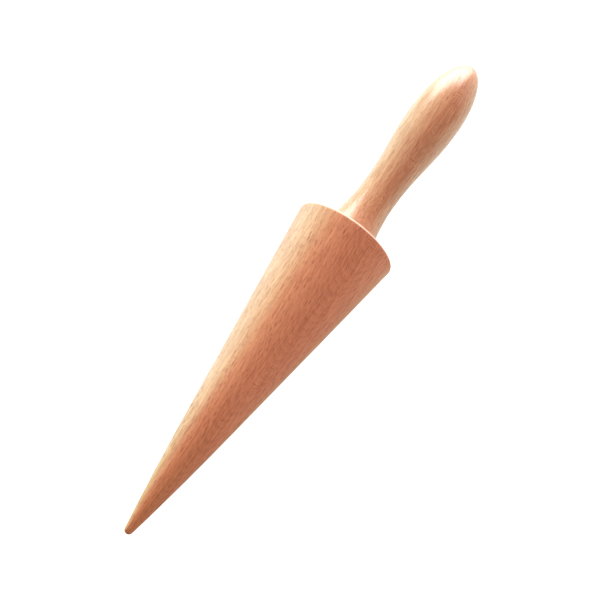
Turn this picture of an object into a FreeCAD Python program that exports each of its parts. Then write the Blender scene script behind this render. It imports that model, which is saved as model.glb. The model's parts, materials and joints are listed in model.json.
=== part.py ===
import FreeCAD, Part
import math
import os

# Wooden edge slicker for leather: a long tapered cone that rubs cut leather edges smooth, on a
# turned handle. Both are turned from round stock. The handle's foot sits in a shallow round seat
# in the cone's large end, and its tenon is glued into a blind bore below the seat.
#
# Sizes are in millimetres. Every piece is first laid out along the lathe axis: x runs along the
# axis, 0 at the cone's rear face, the tip at negative x, the handle at positive x, and r is the
# distance from the axis. The finished pieces are then tilted together, so that the tool lies on
# its tapered side on a level bench. The origin is the centre of the cone's rear face, +X runs
# from the tip towards the handle, and +Z is up from the bench.

# Cone
CONE_LENGTH = 140.0
CONE_DIAMETER = 42.0        # across the rim, the widest place
TAPER_HALF_ANGLE = 7.6      # degrees, between the straight taper and the axis
NOSE_LENGTH = 50.0          # the part next to the tip that curves gently inwards
TIP_RADIUS = 1.7            # the blunt round end
RIM_ROUND = 1.2             # radius of the eased edge around the rear face

# Handle
HANDLE_LENGTH = 90.0        # from the rear face to the end of the dome
FOOT_DIAMETER = 22.0        # where the handle leaves the rear face
WAIST_DIAMETER = 15.5       # the thinnest place
WAIST_AT = 23.0             # distance of the waist from the rear face
SWELL_DIAMETER = 21.0       # the thickest place of the grip
SWELL_AT = 62.5             # distance of the swell from the rear face
SWELL_REACH = 0.42          # share of the S-curve's length that its control points reach in

# Joint between the two
TENON_DIAMETER = 12.0
TENON_LENGTH = 28.0         # from the rear face to the tenon's end
TENON_BEVEL = 1.0
SEAT_DEPTH = 0.6            # how deep the foot's seat is below the rear face
GLUE_FILM = 0.1             # thickness of the glue around the tenon and the foot
GLUE_POOL = 1.5             # thickness of the glue below the tenon, at the bore's bottom
GLUE_SHRINK = 0.1           # how far the hardened glue ends below the rear face

# Derived sizes
TAPER = math.radians(TAPER_HALF_ANGLE)
CONE_RADIUS = CONE_DIAMETER / 2
FOOT_RADIUS = FOOT_DIAMETER / 2
WAIST_RADIUS = WAIST_DIAMETER / 2
SWELL_RADIUS = SWELL_DIAMETER / 2
TENON_RADIUS = TENON_DIAMETER / 2
SEAT_RADIUS = FOOT_RADIUS + GLUE_FILM
BORE_RADIUS = TENON_RADIUS + GLUE_FILM
BORE_DEPTH = TENON_LENGTH + GLUE_POOL
SHOULDER_DEPTH = SEAT_DEPTH - GLUE_FILM

LATHE_AXIS = FreeCAD.Vector(1, 0, 0)
ORIGIN = FreeCAD.Vector(0, 0, 0)


def at(x, r):
    """The point of an outline at distance x along the lathe axis and r from it."""
    return FreeCAD.Vector(x, 0, r)


def line(start, end):
    return Part.LineSegment(start, end).toShape()


def arc(start, centre, end):
    """The short arc from start to end, both at the same distance from centre."""
    to_start = start - centre
    towards_middle = (to_start + (end - centre)).normalize()
    return Part.Arc(start, centre + towards_middle * to_start.Length, end).toShape()


def path(points):
    """Straight edges through the points, in order."""
    return [line(start, end) for start, end in zip(points, points[1:])]


def turned(edges):
    """The solid that the closed outline sweeps in one turn around the lathe axis."""
    return Part.Face(Part.Wire(edges)).revolve(ORIGIN, LATHE_AXIS, 360)


def lying_on_bench(solid):
    """Tilts the tool about the rear face's centre until its straight taper is level below."""
    return solid.rotated(ORIGIN, FreeCAD.Vector(0, 1, 0), -TAPER_HALF_ANGLE)


def socket_outline(top):
    """The cone's seat and blind bore, from the seat's wall at x = top to the axis."""
    return [
        at(top, SEAT_RADIUS),
        at(-SEAT_DEPTH, SEAT_RADIUS),
        at(-SEAT_DEPTH, BORE_RADIUS),
        at(-BORE_DEPTH, BORE_RADIUS),
        at(-BORE_DEPTH, 0),
    ]


def tenon_outline(top):
    """The handle's tenon, shoulder and foot, from the axis to the foot's side at x = top."""
    return [
        at(-TENON_LENGTH, 0),
        at(-TENON_LENGTH, TENON_RADIUS - TENON_BEVEL),
        at(TENON_BEVEL - TENON_LENGTH, TENON_RADIUS),
        at(-SHOULDER_DEPTH, TENON_RADIUS),
        at(-SHOULDER_DEPTH, FOOT_RADIUS),
        at(top, FOOT_RADIUS),
    ]


def cone():
    """The tapered body: tip ball, curved nose, straight taper, eased rim, rear face, socket."""
    outward = at(-math.sin(TAPER), math.cos(TAPER))
    rim_centre = at(-RIM_ROUND, CONE_RADIUS - RIM_ROUND)
    taper_end = rim_centre + outward * RIM_ROUND
    rear_edge = at(0, CONE_RADIUS - RIM_ROUND)

    taper_start_x = NOSE_LENGTH - CONE_LENGTH
    taper_start = at(taper_start_x, taper_end.z - (taper_end.x - taper_start_x) * math.tan(TAPER))

    # The nose is one arc, tangent to the straight taper and to the tip ball.
    tip = at(-CONE_LENGTH, 0)
    ball_centre = at(TIP_RADIUS - CONE_LENGTH, 0)
    chord = taper_start - ball_centre
    nose_radius = (chord.dot(chord) - TIP_RADIUS**2) / (2 * (chord.dot(outward) - TIP_RADIUS))
    nose_centre = taper_start - outward * nose_radius
    ball_end = ball_centre + (ball_centre - nose_centre).normalize() * TIP_RADIUS

    outside = [
        arc(tip, ball_centre, ball_end),
        arc(ball_end, nose_centre, taper_start),
        line(taper_start, taper_end),
        arc(taper_end, rim_centre, rear_edge),
    ]
    return turned(outside + path([rear_edge] + socket_outline(top=0) + [tip]))


def handle():
    """The grip: tenon and foot, hollow neck, slim waist, swell and domed end."""
    foot = at(0, FOOT_RADIUS)
    waist = at(WAIST_AT, WAIST_RADIUS)
    swell = at(SWELL_AT, SWELL_RADIUS)
    dome_end = at(HANDLE_LENGTH, 0)

    # The neck is one hollow arc, parallel to the axis at the waist.
    flare = FOOT_RADIUS - WAIST_RADIUS
    neck_radius = (WAIST_AT**2 + flare**2) / (2 * flare)
    neck = arc(foot, waist + at(0, neck_radius), waist)

    s_curve = Part.BezierCurve()
    reach = at(SWELL_REACH * (SWELL_AT - WAIST_AT), 0)
    s_curve.setPoles([waist, waist + reach, swell - reach, swell])

    # The dome is a quarter of an ellipse that is longer along the axis than across it.
    dome = Part.Ellipse(dome_end, swell, at(SWELL_AT, 0)).toShape(0, math.pi / 2)

    tenon = tenon_outline(top=0)
    return turned(path(tenon) + [neck, s_curve.toShape(), dome, line(dome_end, tenon[0])])


def glue_line():
    """The hardened glue: a thin film around the tenon, shoulder and foot, and a pool below."""
    outline = tenon_outline(top=-GLUE_SHRINK) + socket_outline(top=-GLUE_SHRINK)
    return turned(path(outline + [outline[0]]))


PIECES = {
    "cone": cone,
    "handle": handle,
    "glue_line": glue_line,
}

os.makedirs("parts", exist_ok=True)
for node, build_piece in PIECES.items():
    piece = lying_on_bench(build_piece())
    piece.exportStep("parts/" + node + ".step")
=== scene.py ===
import json
import math
from types import SimpleNamespace

import bpy
import numpy as np
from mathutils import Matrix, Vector


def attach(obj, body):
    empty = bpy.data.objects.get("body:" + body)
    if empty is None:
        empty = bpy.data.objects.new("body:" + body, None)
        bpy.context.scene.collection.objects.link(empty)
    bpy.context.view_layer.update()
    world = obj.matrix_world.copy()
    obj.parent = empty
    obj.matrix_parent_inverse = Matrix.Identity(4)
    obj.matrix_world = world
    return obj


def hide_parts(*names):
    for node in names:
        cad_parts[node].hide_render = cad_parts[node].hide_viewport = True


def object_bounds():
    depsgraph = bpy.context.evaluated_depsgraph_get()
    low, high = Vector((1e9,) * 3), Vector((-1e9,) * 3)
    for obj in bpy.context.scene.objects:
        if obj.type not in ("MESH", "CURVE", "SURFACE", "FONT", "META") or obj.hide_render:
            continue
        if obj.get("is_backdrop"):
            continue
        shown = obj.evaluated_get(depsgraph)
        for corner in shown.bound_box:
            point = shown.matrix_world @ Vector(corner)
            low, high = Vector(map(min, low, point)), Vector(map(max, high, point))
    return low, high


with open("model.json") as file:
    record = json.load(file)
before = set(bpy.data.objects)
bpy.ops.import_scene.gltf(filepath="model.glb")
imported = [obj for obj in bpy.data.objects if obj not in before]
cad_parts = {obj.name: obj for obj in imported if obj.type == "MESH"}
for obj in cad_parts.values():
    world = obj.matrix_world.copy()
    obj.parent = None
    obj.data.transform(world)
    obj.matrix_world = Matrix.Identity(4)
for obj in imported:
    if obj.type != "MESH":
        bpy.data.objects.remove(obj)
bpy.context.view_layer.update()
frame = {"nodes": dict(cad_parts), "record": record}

MM = 0.001

# The tool's own axis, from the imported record: x is measured along it from the cone's rear face,
# negative towards the tip, and r is the distance from it. UP and SIDE are square to it.
REAR_FACE = next(m for m in frame["record"]["mounts"] if m["name"] == "rear_face")
CENTRE = np.array(REAR_FACE["pos_m"])
AXIS = np.array(REAR_FACE["axis"]) / np.linalg.norm(REAR_FACE["axis"])
SIDE = np.array([0.0, 1.0, 0.0])
UP = np.cross(AXIS, SIDE)
TILT = math.asin(AXIS[2])


def measured(node):
    """x and r of every vertex of a CAD node."""
    points = np.array([vertex.co for vertex in frame["nodes"][node].data.vertices]) - CENTRE
    x = points @ AXIS
    return x, np.linalg.norm(points - np.outer(x, AXIS), axis=1)


# ---------------------------------------------------------------- sizes, from the CAD nodes

cone_x, cone_r = measured("cone")
CONE_LENGTH = -cone_x.min()
RIM_RADIUS = cone_r.max()

handle_x, handle_r = measured("handle")
HANDLE_LENGTH = handle_x.max()
TENON_LENGTH = -handle_x.min()
FOOT_RADIUS = handle_r[handle_x < 0].max()
TENON_RADIUS = handle_r[handle_x < -TENON_LENGTH / 2].max()
swell_vertex = np.argmax(handle_r * (handle_x > HANDLE_LENGTH / 2))
SWELL_AT, SWELL_RADIUS = handle_x[swell_vertex], handle_r[swell_vertex]
neck = (handle_x > 0) & (handle_x < SWELL_AT)
WAIST_RADIUS = handle_r[neck].min()
WAIST_AT = handle_x[neck][np.argmin(handle_r[neck])]

glue_x, glue_r = measured("glue_line")
SEAT_RADIUS = glue_r.max()
BORE_DEPTH = -glue_x.min()
BORE_RADIUS = glue_r[glue_x < -BORE_DEPTH / 2].max()

# Small shapes of the outline that aren't measured above.
NOSE_LENGTH = 50 * MM
TIP_RADIUS = 1.7 * MM
RIM_ROUND = 1.2 * MM
TENON_BEVEL = 1 * MM
SEAT_DEPTH = 0.6 * MM
SHOULDER_DEPTH = 0.5 * MM
SWELL_REACH = 0.42          # how full the curve from waist to swell is, as a share of its length

# ---------------------------------------------------------------- turned shapes

RING_STEP = 1 * MM          # distance between the mesh's rings on the plain stretches
SEGMENTS = 192              # faces in one turn
SHARP_ANGLE = math.radians(35)
MARKS = 8                   # waves that make up the turning marks
MARK_LENGTHS = (5, 22)      # of those waves, in mm
MARK_LOBES = 3              # most times that a wave goes up and down in one turn


def line(start, end):
    """Points from start to end, both (x, r), about RING_STEP apart, without the last."""
    start, end = np.array(start), np.array(end)
    count = max(1, round(np.linalg.norm(end - start) / RING_STEP))
    return start + (end - start) * np.linspace(0, 1, count, endpoint=False)[:, None]


def arc(centre, radius, first, last, count):
    """Points on a circle or, with two radii, an ellipse, between two angles, without the last."""
    angles = np.linspace(first, last, count, endpoint=False)
    return np.array(centre) + np.array(radius) * np.stack([np.cos(angles), np.sin(angles)], 1)


def bezier(points, count):
    """Points on a cubic curve, without the last."""
    t = np.linspace(0, 1, count, endpoint=False)[:, None]
    a, b, c, d = np.array(points)
    return (1 - t) ** 3 * a + 3 * (1 - t) ** 2 * t * b + 3 * (1 - t) * t**2 * c + t**3 * d


def turning_marks(x, angle, depth, seed):
    """Faint waves left by turning and sanding, as a change of radius."""
    random = np.random.default_rng(seed)
    waves = np.zeros_like(x + angle)
    for _ in range(MARKS):
        length = random.uniform(*MARK_LENGTHS) * MM
        lobes = random.integers(-MARK_LOBES, MARK_LOBES + 1)
        waves += np.cos(2 * math.pi * x / length + lobes * angle + random.uniform(0, 2 * math.pi))
    return depth * waves / MARKS


def turned(name, outline, depth, seed):
    """A closed mesh swept around the axis from an outline that starts and ends on the axis."""
    rings = outline[1:-1]
    angle = np.linspace(0, 2 * math.pi, SEGMENTS, endpoint=False)
    x = rings[:, :1] + 0 * angle
    r = rings[:, 1:] + turning_marks(rings[:, :1], angle, depth, seed)
    around = np.cos(angle)[:, None] * UP + np.sin(angle)[:, None] * SIDE
    points = CENTRE + x[..., None] * AXIS + r[..., None] * around
    ends = [CENTRE + outline[0][0] * AXIS, CENTRE + outline[-1][0] * AXIS]
    vertices = points.reshape(-1, 3).tolist() + [tuple(end) for end in ends]
    first_end, last_end = len(vertices) - 2, len(vertices) - 1
    last_ring = (len(rings) - 1) * SEGMENTS

    faces = []
    for j in range(SEGMENTS):
        after = (j + 1) % SEGMENTS
        faces.append((first_end, j, after))
        faces.append((last_ring + j, last_end, last_ring + after))
        for ring in range(0, last_ring, SEGMENTS):
            faces.append((ring + j, ring + SEGMENTS + j, ring + SEGMENTS + after, ring + after))

    mesh = bpy.data.meshes.new(name)
    mesh.from_pydata(vertices, [], faces)
    mesh.polygons.foreach_set("use_smooth", [True] * len(faces))
    mesh.set_sharp_from_angle(angle=SHARP_ANGLE)
    piece = bpy.data.objects.new(name, mesh)
    bpy.context.scene.collection.objects.link(piece)
    return piece


def cone_outline():
    """Tip ball, curved nose, straight taper, eased rim, rear face, seat and blind bore."""
    outward = np.array([-math.sin(TILT), math.cos(TILT)])
    rim_centre = np.array([-RIM_ROUND, RIM_RADIUS - RIM_ROUND])
    taper_end = rim_centre + RIM_ROUND * outward
    taper_start_x = NOSE_LENGTH - CONE_LENGTH
    taper_start_r = taper_end[1] - (taper_end[0] - taper_start_x) * math.tan(TILT)
    taper_start = np.array([taper_start_x, taper_start_r])

    ball_centre = np.array([TIP_RADIUS - CONE_LENGTH, 0])
    chord = taper_start - ball_centre
    nose_radius = (chord @ chord - TIP_RADIUS**2) / (2 * (chord @ outward - TIP_RADIUS))
    nose_centre = taper_start - outward * nose_radius
    nose_angle = math.atan2(*(ball_centre - nose_centre)[::-1])
    taper_angle = math.atan2(*outward[::-1])

    rear_edge = (0, RIM_RADIUS - RIM_ROUND)
    corners = [
        rear_edge,
        (0, SEAT_RADIUS),
        (-SEAT_DEPTH, SEAT_RADIUS),
        (-SEAT_DEPTH, BORE_RADIUS),
        (-BORE_DEPTH, BORE_RADIUS),
        (-BORE_DEPTH, 0),
    ]
    return np.vstack([
        arc(ball_centre, TIP_RADIUS, math.pi, nose_angle, count=10),
        arc(nose_centre, nose_radius, nose_angle, taper_angle, count=48),
        line(taper_start, taper_end),
        arc(rim_centre, RIM_ROUND, taper_angle, 0, count=12),
        *[line(a, b) for a, b in zip(corners, corners[1:])],
        [corners[-1]],
    ])


def handle_outline():
    """Tenon, shoulder and foot, hollow neck, waist, swell and domed end."""
    corners = [
        (-TENON_LENGTH, 0),
        (-TENON_LENGTH, TENON_RADIUS - TENON_BEVEL),
        (TENON_BEVEL - TENON_LENGTH, TENON_RADIUS),
        (-SHOULDER_DEPTH, TENON_RADIUS),
        (-SHOULDER_DEPTH, FOOT_RADIUS),
        (0, FOOT_RADIUS),
    ]
    flare = FOOT_RADIUS - WAIST_RADIUS
    neck_radius = (WAIST_AT**2 + flare**2) / (2 * flare)
    neck_angle = math.asin(WAIST_AT / neck_radius)
    waist = np.array([WAIST_AT, WAIST_RADIUS])
    swell = np.array([SWELL_AT, SWELL_RADIUS])
    reach = np.array([SWELL_REACH * (SWELL_AT - WAIST_AT), 0])
    down = -math.pi / 2
    return np.vstack([
        *[line(a, b) for a, b in zip(corners, corners[1:])],
        arc(waist + (0, neck_radius), neck_radius, down - neck_angle, down, count=24),
        bezier([waist, waist + reach, swell - reach, swell], count=40),
        arc((SWELL_AT, 0), (HANDLE_LENGTH - SWELL_AT, SWELL_RADIUS), math.pi / 2, 0, count=40),
        [(HANDLE_LENGTH, 0)],
    ])


# ---------------------------------------------------------------- materials


class Shader:
    """A material's node tree, with short calls for the nodes that the wood is made of."""

    def __init__(self, name):
        self.material = bpy.data.materials.new(name)
        self.material.use_nodes = True
        self.tree = self.material.node_tree
        self.tree.nodes.clear()

    def put(self, socket, value):
        if isinstance(value, bpy.types.NodeSocket):
            self.tree.links.new(value, socket)
        else:
            socket.default_value = value

    def node(self, kind, inputs, **settings):
        made = self.tree.nodes.new(kind)
        for name, value in settings.items():
            setattr(made, name, value)
        for name, value in inputs.items():
            self.put(made.inputs[name], value)
        return made

    def math(self, operation, *values):
        made = self.node("ShaderNodeMath", dict(enumerate(values)), operation=operation)
        return made.outputs[0]

    def total(self, first, *others):
        for other in others:
            first = self.math("ADD", first, other)
        return first

    def product(self, first, *others):
        for other in others:
            first = self.math("MULTIPLY", first, other)
        return first

    def scaled(self, value, factor, plus=0.0):
        return self.math("MULTIPLY_ADD", value, factor, plus)

    def between(self, value, low, high):
        """low where value is 0, high where it is 1, and in proportion elsewhere."""
        return self.scaled(value, high - low, low)

    def centred(self, value, width):
        """A value from 0 to 1 spread over width, half of it below 0."""
        return self.scaled(value, width, -width / 2)

    def vector(self, operation, *values):
        made = self.node("ShaderNodeVectorMath", dict(enumerate(values)), operation=operation)
        return made.outputs["Value" if operation in ("DOT_PRODUCT", "LENGTH") else "Vector"]

    def combined(self, x, y=0.0, z=0.0):
        return self.node("ShaderNodeCombineXYZ", {0: x, 1: y, 2: z}).outputs[0]

    def separated(self, vector):
        return self.node("ShaderNodeSeparateXYZ", {0: vector}).outputs

    def noise(self, vector, detail=2.0, roughness=0.5):
        inputs = {"Vector": vector, "Scale": 1.0, "Detail": detail, "Roughness": roughness}
        return self.node("ShaderNodeTexNoise", inputs).outputs[0]

    def mottle(self, places, size, detail=2.0, roughness=0.5):
        """Noise over one to three places, with patches about as long as the size along each."""
        shrunk = [self.scaled(place, 1 / length) for place, length in zip(places, size)]
        return self.noise(self.combined(*shrunk), detail, roughness)

    def step(self, value, low, high):
        """0 below low, 1 above high, and smooth between; with low above high it falls."""
        inputs = {"Value": value, "From Min": low, "From Max": high}
        return self.node("ShaderNodeMapRange", inputs, interpolation_type="SMOOTHSTEP").outputs[0]

    def ramp(self, value, stops):
        """A colour that runs through the stops, each a place from 0 to 1 and its colour."""
        made = self.node("ShaderNodeValToRGB", {0: value})
        made.color_ramp.interpolation = "B_SPLINE"
        elements = made.color_ramp.elements
        elements.remove(elements[1])
        elements[0].position, elements[0].color = stops[0]
        for place, colour in stops[1:]:
            elements.new(place).color = colour
        return made.outputs[0]

    def mix(self, factor, a, b, blend="MIX"):
        inputs = {0: factor, 6: a, 7: b}
        return self.node("ShaderNodeMix", inputs, data_type="RGBA", blend_type=blend).outputs[2]

    def surface(self, colour, roughness, height, depth):
        bump = self.node("ShaderNodeBump", {"Height": height, "Distance": depth, "Strength": 1.0})
        inputs = {"Base Color": colour, "Roughness": roughness, "Normal": bump.outputs[0]}
        inputs["IOR"] = 1.5
        principled = self.node("ShaderNodeBsdfPrincipled", inputs)
        self.node("ShaderNodeOutputMaterial", {"Surface": principled.outputs[0]})
        return self.material


# Beech. A point in the wood has an x along the grain, a depth away from the pith, which is the
# tree's centre, and a place around the pith, all in mm.

WANDER = 0.8                # how far the grain strays to each side of straight
WANDER_SIZE = (60, 30, 30)  # over which lengths it strays
WEAVE = 0.5                 # how far neighbouring fibres weave around the pith
RING_WIDTH = 0.5
RING_SPREAD = 1 / 0.35      # depth over which the rings get wider and narrower
LAYER_WIDTH = 0.13          # of the layers of fibres inside a ring
RING_OFFSETS = (2.5, 0.9)   # how far unevenness and jags shift a ring, in ring widths
LAYER_OFFSET = 5.0          # how far the layers wobble, in layer widths
ROW_SHARE = 0.95            # of the large rays' ends that show in the middle of a row
SMALL_SHARE = 0.9           # of the small ones
RELIEF = 0.015 * MM         # height of the polished grain
STREAK_RELIEF = 0.4         # as a share of it, as are the next two
FIBRE_RELIEF = 0.6
RAY_RELIEF = 0.4

# How much each feature darkens the wood, and how fast that takes away red, green and blue.
CLOUD_SHADE = 0.1
STREAK_SHADE = 0.4
FIBRE_SHADE = 0.7
RING_SHADE = 0.1
LAYER_SHADE = 0.11
END_ARC_SHADE = 1.2
SHADE_COLOUR = (0.8, 1.3, 1.5)

# How strongly the rays' colour covers the small rays and the end grain.
SMALL_RAY_COVER = 0.75
END_GRAIN_COVER = 0.6

RED_CLOUDS = 0.06           # how far clouds shift the tone around the wood
RED_TIP = 0.12              # how far the front end does, at its darkest
ROUGH_ENDS = 0.2            # how much rougher end grain is
BROWN_TIP = (0.82, 0.84, 0.66, 1)
# Colour of the painted highlight on an edge rounded to the rear, where the cone's rim catches the
# lights.
PAINTED_EDGE_HIGHLIGHT = (0.95, 0.82, 0.62, 1)


def beech_places(shader, place, pith, seed, slope):
    """Where a point lies in the tree."""
    inputs = {"Vector": place, "Scale": (1 / MM,) * 3, "Rotation": (0, TILT, 0)}
    inputs["Location"] = (seed, -pith[0], -pith[1])
    straight = shader.node("ShaderNodeMapping", inputs).outputs[0]
    slow = shader.vector("MULTIPLY", straight, tuple(1 / length for length in WANDER_SIZE))
    inputs = {"Vector": slow, "Scale": 1.0, "Detail": 1.0}
    drift = shader.node("ShaderNodeTexNoise", inputs).outputs["Color"]
    drift = shader.vector("MULTIPLY_ADD", drift, (0, 2 * WANDER, 2 * WANDER), (0, -WANDER, -WANDER))
    grain = shader.vector("ADD", straight, drift)
    x, across, upward = shader.separated(grain)
    squares = shader.total(shader.math("POWER", across, 2), shader.math("POWER", upward, 2))
    depth = shader.math("SQRT", squares)
    angle = shader.math("ARCTAN2", upward, across)
    weave = shader.mottle((x, depth), size=(8, 10))
    around = shader.total(
        shader.scaled(angle, math.hypot(*pith)), shader.scaled(weave, WEAVE), shader.scaled(x, slope)
    )
    return SimpleNamespace(x=x, depth=depth, around=around, angle=angle, grain=grain)


def beech_facing(shader, wood, pith):
    """How the surface lies to the grain.

    tangential is 1 on a growth ring's own face and 0 square to it. red is 1 where the surface faces
    straight away from the pith and -1 where it faces it. end_grain and rear_edge are 1 on an end and
    on an edge that is rounded to the rear.
    """
    normal = shader.node("ShaderNodeNewGeometry", {}).outputs["Normal"]
    side = shader.vector("DOT_PRODUCT", normal, tuple(SIDE))
    up = shader.vector("DOT_PRODUCT", normal, tuple(UP))
    rearward = shader.vector("DOT_PRODUCT", normal, tuple(AXIS))
    along_ray = shader.total(
        shader.product(side, shader.math("COSINE", wood.angle)),
        shader.product(up, shader.math("SINE", wood.angle)),
    )
    outward = -np.array(pith) / math.hypot(*pith)
    front_end = shader.step(rearward, low=-0.3, high=-0.95)
    rear_end = shader.step(rearward, low=0.9, high=0.99)
    turned_rearward = shader.step(rearward, low=0.1, high=0.45)
    not_yet_square = shader.step(rearward, low=0.99, high=0.9)
    return SimpleNamespace(
        tangential=shader.math("ABSOLUTE", along_ray),
        red=shader.total(shader.scaled(side, outward[0]), shader.scaled(up, outward[1])),
        end_grain=shader.total(front_end, rear_end),
        rear_edge=shader.product(turned_rearward, not_yet_square),
    )


def growth_rings(shader, wood, uneven):
    """Rings that each darken towards their outer edge."""
    jagged = shader.mottle((wood.x, wood.around), size=(3, 1.2), detail=1.0)
    ring = shader.total(
        shader.scaled(wood.depth, 1 / RING_WIDTH),
        shader.scaled(uneven, RING_OFFSETS[0]),
        shader.scaled(jagged, RING_OFFSETS[1]),
    )
    ring = shader.math("FRACT", ring)
    darkening = shader.step(ring, low=0.2, high=0.9)
    outer_edge = shader.step(ring, low=1.0, high=0.92)
    return shader.product(darkening, outer_edge)


def fibre_arches(shader, wood, tangential):
    """Cut layers of fibres: fine nested arches where the surface only grazes the growth rings."""
    wobble = shader.mottle((wood.x, wood.around), size=(7, 4))
    layer = shader.total(
        shader.scaled(wood.depth, 1 / LAYER_WIDTH), shader.scaled(wobble, LAYER_OFFSET)
    )
    wave = shader.math("SINE", shader.scaled(layer, 2 * math.pi))
    own_slice = 5.0             # of the noise, away from the one that wobble is taken from
    patch = shader.mottle((wood.x, wood.around, own_slice), size=(9, 7, 1))
    some_patches = shader.step(patch, low=0.42, high=0.58)
    grazed = shader.step(tangential, low=0.955, high=0.985)
    return shader.product(wave, some_patches, grazed)


def ray_ends(shader, wood, spacing, half_size, kept):
    """The ends of the rays: up to 1 inside a lens-shaped ray and 0 outside.

    spacing and half_size are in mm along x, depth and around. kept is the share of the rays that
    show, as a number or a socket.
    """
    place = shader.combined(wood.x, wood.depth, wood.around)
    cells = shader.vector("DIVIDE", place, spacing)
    inputs = {"Vector": cells, "Scale": 1.0, "Randomness": 1.0}
    voronoi = shader.node("ShaderNodeTexVoronoi", inputs)
    offset = shader.vector("SUBTRACT", cells, voronoi.outputs["Position"])
    stretch = tuple(gap / half for gap, half in zip(spacing, half_size))
    distance = shader.vector("LENGTH", shader.vector("MULTIPLY", offset, stretch))
    own_length, own_rank, own_strength = shader.separated(voronoi.outputs["Color"])
    reach = shader.between(own_length, 0.5, 1.4)
    inside = shader.step(shader.math("DIVIDE", distance, reach), low=1.0, high=0.5)
    shown = shader.math("LESS_THAN", own_rank, kept)
    strength = shader.product(shown, shader.between(own_strength, 0.4, 1.0))
    return shader.product(inside, strength)


def large_ray_ends(shader, wood, facing):
    """Loose rows of dark dashes, strongest on the red side.

    They are faint where the surface is flush with a growth ring or square to it.
    """
    rows = shader.mottle((wood.x, wood.around), size=(40, 2.2), detail=1.0)
    kept = shader.scaled(shader.step(rows, low=0.3, high=0.58), ROW_SHARE)
    rays = ray_ends(shader, wood, spacing=(3.0, 4.0, 0.7), half_size=(1.4, 2.2, 0.13), kept=kept)
    off_the_face = shader.step(facing.tangential, low=1.0, high=0.93)
    off_the_quarter = shader.step(facing.tangential, low=0.05, high=0.3)
    clear = shader.between(shader.product(off_the_face, off_the_quarter), 0.2, 1.0)
    return shader.product(rays, clear, shader.step(facing.red, low=-0.2, high=0.9))


def beech(name, pith, seed, slope, tones_and_painted_light, ray, edge_highlight, dark_tip, polish):
    """Steamed beech, finely sanded.

    pith is where the tree's centre is, (SIDE, UP) in mm, and slope is how far the fibres run off the
    axis. The wood is reddest on the side away from the pith: tones are its colours by how squarely
    the surface faces that way, from 0 to 1. These are partly the wood's own colour and partly
    painted
    light: the pale cream tones are a painted highlight on the side that faces the lights, and the
    browner tone where the surface faces the pith is painted shade. ray is what a ray's end
    multiplies the colour by, edge_highlight how much paler an edge is that faces the rear, which is
    a painted highlight on the rim, dark_tip how much browner the front end is, and polish is the
    roughness of the smoothest and of the roughest fibres.
    """
    shader = Shader(name)
    places = shader.node("ShaderNodeTexCoord", {}).outputs
    wood = beech_places(shader, places["Object"], pith, seed, slope)
    facing = beech_facing(shader, wood, pith)
    tip = shader.step(shader.separated(places["Generated"])[0], low=0.5, high=0.0)

    whole = (wood.x, wood.around, wood.depth)
    streaks = shader.mottle(whole, size=(20, 0.6, 2), detail=3.0, roughness=0.6)
    fibres = shader.mottle(whole, size=(9, 0.4, 4), detail=2.0, roughness=0.6)
    clouds = shader.mottle(shader.separated(wood.grain), size=(40, 8, 8))
    uneven = shader.mottle((wood.depth,), size=(RING_SPREAD,))
    rings = growth_rings(shader, wood, uneven)
    arches = fibre_arches(shader, wood, facing.tangential)
    large_rays = large_ray_ends(shader, wood, facing)
    small_rays = ray_ends(
        shader, wood, spacing=(1.8, 3.0, 0.42), half_size=(0.85, 1.5, 0.08), kept=SMALL_SHARE
    )

    # Tone by which way the surface faces: partly the wood's own colour, partly a painted highlight
    # on the side towards the lights and painted shade where it faces the pith.
    redness = shader.total(
        shader.scaled(facing.red, 0.5, 0.5),
        shader.centred(clouds, RED_CLOUDS),
        shader.scaled(tip, RED_TIP * dark_tip),
    )
    ring_contrast = shader.between(shader.math("POWER", facing.tangential, 4.0), 0.2, 1.0)
    darkness = shader.total(
        shader.centred(clouds, CLOUD_SHADE),
        shader.centred(streaks, STREAK_SHADE),
        shader.centred(fibres, FIBRE_SHADE),
        shader.scaled(shader.product(rings, ring_contrast), RING_SHADE),
        shader.scaled(arches, LAYER_SHADE),
        shader.product(facing.end_grain, shader.centred(uneven, END_ARC_SHADE)),
    )
    shade = shader.combined(*[shader.scaled(darkness, -loss, 1.0) for loss in SHADE_COLOUR])
    colour = shader.mix(1.0, shader.ramp(redness, tones_and_painted_light), shade, "MULTIPLY")
    small_cover = shader.scaled(small_rays, SMALL_RAY_COVER)
    end_cover = shader.scaled(facing.end_grain, END_GRAIN_COVER)
    for cover in (large_rays, small_cover, end_cover):
        colour = shader.mix(cover, colour, ray, "MULTIPLY")
    colour = shader.mix(shader.scaled(tip, dark_tip), colour, BROWN_TIP, "MULTIPLY")
    # Painted highlight: an edge rounded to the rear is made pale cream, like the cone's rim catching
    # the lights.
    colour = shader.mix(shader.scaled(facing.rear_edge, edge_highlight), colour, PAINTED_EDGE_HIGHLIGHT)

    roughness = shader.total(
        shader.between(fibres, *polish), shader.scaled(facing.end_grain, ROUGH_ENDS)
    )
    height = shader.total(
        shader.scaled(streaks, STREAK_RELIEF),
        shader.scaled(fibres, FIBRE_RELIEF),
        shader.scaled(large_rays, -RAY_RELIEF),
    )
    return shader.surface(colour, roughness, height, RELIEF)


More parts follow.
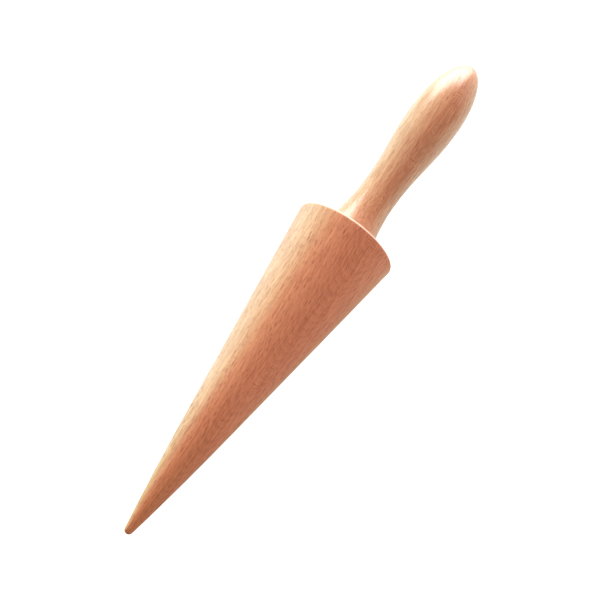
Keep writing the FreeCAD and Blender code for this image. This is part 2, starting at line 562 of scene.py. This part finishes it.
def hard_glue(name):
    """Hardened wood glue: pale yellow, slightly cloudy, with small bubbles."""
    cloud_size = 2 * MM
    bubbles_per_cloud = 8
    shader = Shader(name)
    place = shader.node("ShaderNodeTexCoord", {}).outputs["Object"]
    place = shader.vector("MULTIPLY", place, (1 / cloud_size,) * 3)
    clouds = shader.noise(place, detail=4.0, roughness=0.6)
    bubbles = shader.noise(shader.vector("MULTIPLY", place, (bubbles_per_cloud,) * 3), detail=1.0)
    colour = shader.mix(clouds, (0.55, 0.42, 0.2, 1), (0.75, 0.65, 0.4, 1))
    return shader.surface(colour, shader.between(clouds, 0.35, 0.55), bubbles, depth=0.01 * MM)


# ---------------------------------------------------------------- the pieces


def finished(piece, node, material):
    """Paints a rebuilt piece and has it stand in for its CAD node, on the one body."""
    piece.data.materials.append(material)
    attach(piece, "root")
    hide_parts(node)


finished(
    turned("cone_body", cone_outline(), depth=0.03 * MM, seed=3),
    node="cone",
    material=beech(
        "cone_beech", pith=(40, -42), seed=0, slope=0.1,
        ray=(0.54, 0.27, 0.16, 1), edge_highlight=0.6, dark_tip=1, polish=(0.36, 0.58),
        # From 0.25 to 0.55 the cream is partly a painted highlight on the side towards the lights;
        # the browner stop at 0.12 is partly painted shade.
        tones_and_painted_light=[
            (0.12, (0.58, 0.34, 0.18, 1)),
            (0.25, (0.88, 0.63, 0.41, 1)),
            (0.55, (0.88, 0.62, 0.39, 1)),
            (0.65, (0.87, 0.55, 0.3, 1)),
            (0.75, (0.84, 0.44, 0.2, 1)),
            (0.85, (0.85, 0.32, 0.15, 1)),
            (1.0, (0.92, 0.28, 0.13, 1)),
        ],
    ),
)
finished(
    turned("turned_handle", handle_outline(), depth=0.015 * MM, seed=8),
    node="handle",
    material=beech(
        "handle_beech", pith=(40, -58), seed=400, slope=0.05,
        ray=(0.7, 0.47, 0.34, 1), edge_highlight=0, dark_tip=0, polish=(0.13, 0.3),
        # From 0.25 to 0.65 the cream is partly a painted highlight on the side towards the lights;
        # the browner stop at 0.12 is partly painted shade.
        tones_and_painted_light=[
            (0.12, (0.6, 0.37, 0.2, 1)),
            (0.25, (0.81, 0.59, 0.37, 1)),
            (0.65, (0.81, 0.58, 0.36, 1)),
            (0.82, (0.8, 0.47, 0.26, 1)),
            (0.92, (0.79, 0.41, 0.22, 1)),
            (0.97, (0.78, 0.36, 0.19, 1)),
            (1.0, (0.73, 0.27, 0.13, 1)),
        ],
    ),
)

glue_line = frame["nodes"]["glue_line"]
glue_line.data.materials.clear()
glue_line.data.materials.append(hard_glue("hard_glue"))

# ---------------------------------------------------------------- floor, light and camera

FLOOR_HALF = 3.0
FLOOR_GLOW = 0.25           # extra light of the floor as the wood reflects it


def floor(level):
    """A white table; the camera sees it burnt out to plain white, as on a cut-out product shot."""
    corners = [
        (-FLOOR_HALF, -FLOOR_HALF, level),
        (FLOOR_HALF, -FLOOR_HALF, level),
        (FLOOR_HALF, FLOOR_HALF, level),
        (-FLOOR_HALF, FLOOR_HALF, level),
    ]
    mesh = bpy.data.meshes.new("floor")
    mesh.from_pydata(corners, [], [(0, 1, 2, 3)])
    made = bpy.data.objects.new("floor", mesh)
    bpy.context.scene.collection.objects.link(made)
    shader = Shader("white_table")
    path = shader.node("ShaderNodeLightPath", {}).outputs
    glow = shader.total(shader.scaled(path["Is Glossy Ray"], FLOOR_GLOW), path["Is Camera Ray"])
    inputs = {"Base Color": (0.8, 0.8, 0.8, 1), "Roughness": 0.9}
    inputs["Emission Color"] = (1, 1, 1, 1)
    inputs["Emission Strength"] = glow
    principled = shader.node("ShaderNodeBsdfPrincipled", inputs)
    shader.node("ShaderNodeOutputMaterial", {"Surface": principled.outputs[0]})
    made.data.materials.append(shader.material)
    made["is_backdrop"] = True


def room(light):
    """A surrounding that is plain white to the camera and lights the rest softly."""
    world = bpy.data.worlds.new("room")
    world.use_nodes = True
    nodes, links = world.node_tree.nodes, world.node_tree.links
    background = nodes["Background"]
    background.inputs["Color"].default_value = (1, 1, 1, 1)
    strength = nodes.new("ShaderNodeMapRange")
    strength.inputs["To Min"].default_value = light
    path = nodes.new("ShaderNodeLightPath")
    links.new(path.outputs["Is Camera Ray"], strength.inputs["Value"])
    links.new(strength.outputs["Result"], background.inputs["Strength"])
    bpy.context.scene.world = world


def softbox(name, azimuth, elevation, width, height, watts):
    """A large plain light 1 m from the origin that points at it; azimuth 0 is on +X, 90 on +Y."""
    turn, rise = math.radians(azimuth), math.radians(elevation)
    away = Vector((
        math.cos(turn) * math.cos(rise), math.sin(turn) * math.cos(rise), math.sin(rise)
    ))
    data = bpy.data.lights.new(name, "AREA")
    data.shape = "RECTANGLE"
    data.size, data.size_y = width, height
    data.energy = watts
    lamp = bpy.data.objects.new(name, data)
    lamp.location = away
    lamp.rotation_mode = "QUATERNION"
    lamp.rotation_quaternion = away.to_track_quat("Z", "Y")
    lamp.visible_camera = False
    bpy.context.scene.collection.objects.link(lamp)
    return lamp


def camera(azimuth, elevation, distance, aim, lens):
    """Looks at aim from distance; azimuth 0 looks along +Y, and elevation is above level."""
    turn, rise = math.radians(azimuth), math.radians(elevation)
    back = Vector((
        math.sin(turn) * math.cos(rise), -math.cos(turn) * math.cos(rise), math.sin(rise)
    ))
    data = bpy.data.cameras.new("camera")
    data.lens = lens
    data.sensor_width = 36
    data.clip_start = 0.01
    made = bpy.data.objects.new("camera", data)
    made.location = Vector(aim) + back * distance
    made.rotation_mode = "QUATERNION"
    made.rotation_quaternion = back.to_track_quat("Z", "Y")
    bpy.context.scene.collection.objects.link(made)
    bpy.context.scene.camera = made


floor(level=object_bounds()[0].z)
room(light=0.42)

softbox("backlight", azimuth=0, elevation=18, width=2.2, height=0.8, watts=6)
softbox("key", azimuth=22, elevation=30, width=1.0, height=0.5, watts=8.5)
softbox("fill", azimuth=105, elevation=30, width=0.7, height=0.6, watts=4)

# The handle's wide highlight is this card's reflection, and the card lights nothing else.
card = softbox("card", azimuth=22, elevation=24, width=1.3, height=0.9, watts=19)
card.visible_diffuse = False

MIDDLE = -31 * MM           # x of the middle of the picture
camera(azimuth=-55.1, elevation=58.45, distance=0.6264, aim=CENTRE + MIDDLE * AXIS, lens=100)
bpy.context.scene.view_settings.view_transform = "Standard"
